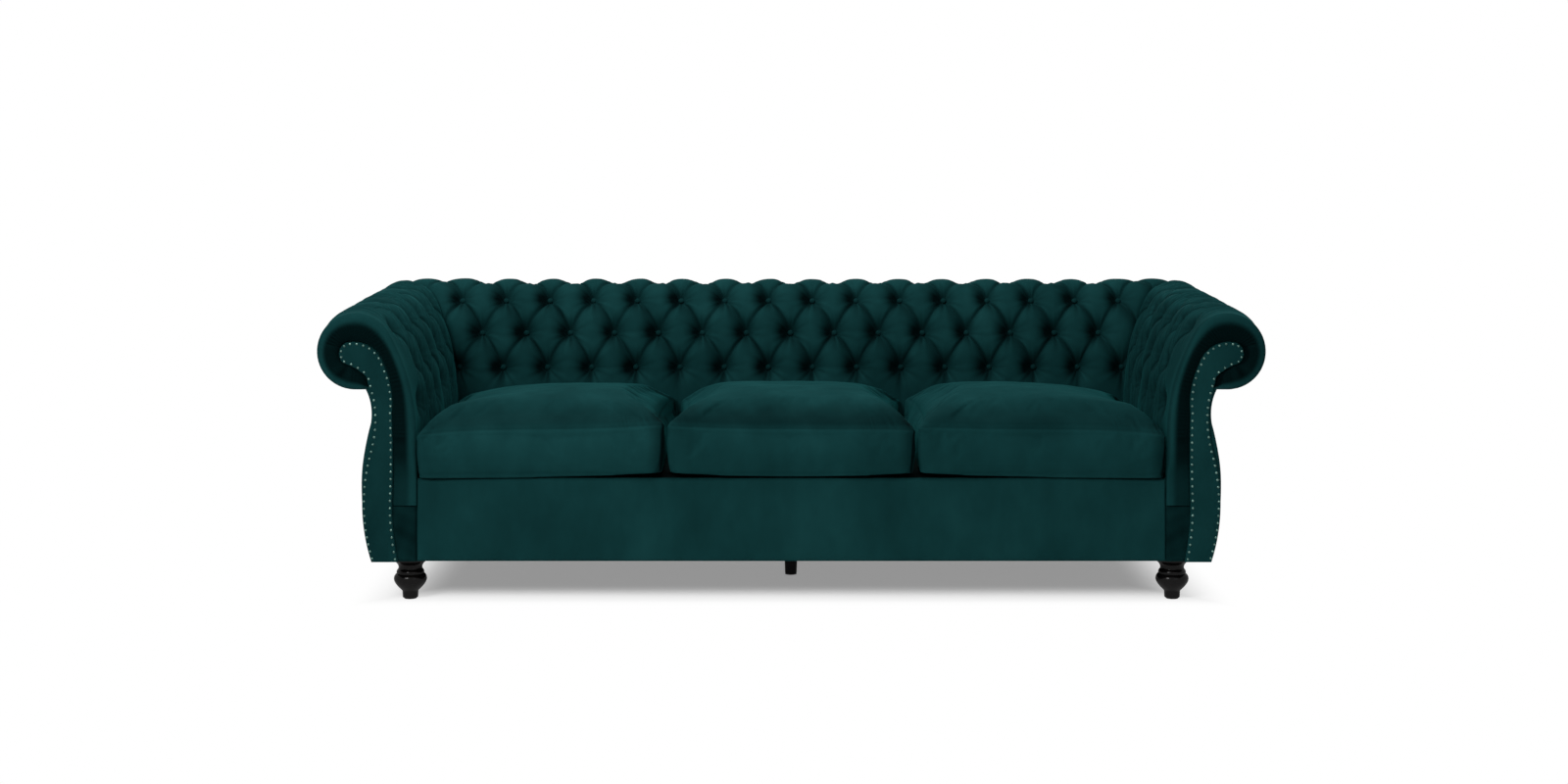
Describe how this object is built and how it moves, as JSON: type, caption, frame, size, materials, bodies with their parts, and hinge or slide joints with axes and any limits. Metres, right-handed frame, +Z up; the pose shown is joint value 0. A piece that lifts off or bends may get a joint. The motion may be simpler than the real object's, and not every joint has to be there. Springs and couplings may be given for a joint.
{
  "type": "three-seat sofa",
  "caption": "Three-seat sofa with low rolled arms, deep diamond tufting, crook-shaped nail-trimmed arm facings, loose crowned seat cushions and turned bun feet.",
  "frame": {"origin": "on the floor, under the middle of the sofa's outline", "axes": "seen from the front, +X is to the right; +Z is up and the front faces -Y"},
  "size_m": [2.156, 0.87, 0.6918],
  "materials": {
    "velvet": "deep green short-pile velvet with a soft sheen",
    "foam": "cut polyurethane foam",
    "deck_cloth": "black non-woven cloth",
    "nail_metal": "polished domed nail heads",
    "foot_wood": "turned hardwood, near-black lacquer",
    "plywood": "birch plywood, bare",
    "frame_wood": "sawn softwood, bare",
    "spring_steel": "oil-tempered wire",
    "zinc_steel": "zinc plated",
    "glide_plastic": "dark moulded plastic"
  },
  "bodies": {
    "sofa_frame": {"arm_base_border_left": "velvet", "arm_base_border_right": "velvet", "arm_buttons_left": "velvet", "arm_buttons_right": "velvet", "arm_front_board_left": "plywood", "arm_front_board_right": "plywood", "arm_pad_left": "velvet", "arm_pad_right": "velvet", "arm_rear_board_left": "plywood", "arm_rear_board_right": "plywood", "arm_tack_slat_left": "frame_wood", "arm_tack_slat_right": "frame_wood", "arm_top_slat_left": "frame_wood", "arm_top_slat_right": "frame_wood", "back_buttons": "velvet", "back_pad": "velvet", "back_rail": "frame_wood", "back_rib_left": "plywood", "back_rib_mid_left": "plywood", "back_rib_mid_right": "plywood", "back_rib_right": "plywood", "back_tack_slat": "frame_wood", "back_top_slat": "frame_wood", "centre_foot": "foot_wood", "centre_rail": "frame_wood", "corner_blocks": "frame_wood", "deck_pad": "deck_cloth", "dust_cover": "deck_cloth", "facing_nails_left": "nail_metal", "facing_nails_right": "nail_metal", "facing_panel_left": "velvet", "facing_panel_right": "velvet", "foot_bolts": "zinc_steel", "foot_glides": "glide_plastic", "foot_plates": "zinc_steel", "front_border": "velvet", "front_feet": "foot_wood", "front_rail": "frame_wood", "outside_arm_panel_left": "velvet", "outside_arm_panel_right": "velvet", "outside_back_panel": "velvet", "rear_feet": "foot_wood", "seat_springs": "spring_steel", "side_rail_left": "frame_wood", "side_rail_right": "frame_wood", "spring_clips": "spring_steel", "spring_cloth": "deck_cloth"},
    "cushion_left": {"seat_cushion_left": "velvet", "cushion_core_left": "foam"},
    "cushion_middle": {"seat_cushion_middle": "velvet", "cushion_core_middle": "foam"},
    "cushion_right": {"seat_cushion_right": "velvet", "cushion_core_right": "foam"}
  },
  "joints": [
    {"name": "cushion_left_lift", "type": "slide", "parent": "sofa_frame", "child": "cushion_left", "axis": [0, 0, 1], "range_m": [0, 0.3]},
    {"name": "cushion_middle_lift", "type": "slide", "parent": "sofa_frame", "child": "cushion_middle", "axis": [0, 0, 1], "range_m": [0, 0.3]},
    {"name": "cushion_right_lift", "type": "slide", "parent": "sofa_frame", "child": "cushion_right", "axis": [0, 0, 1], "range_m": [0, 0.3]}
  ]
}
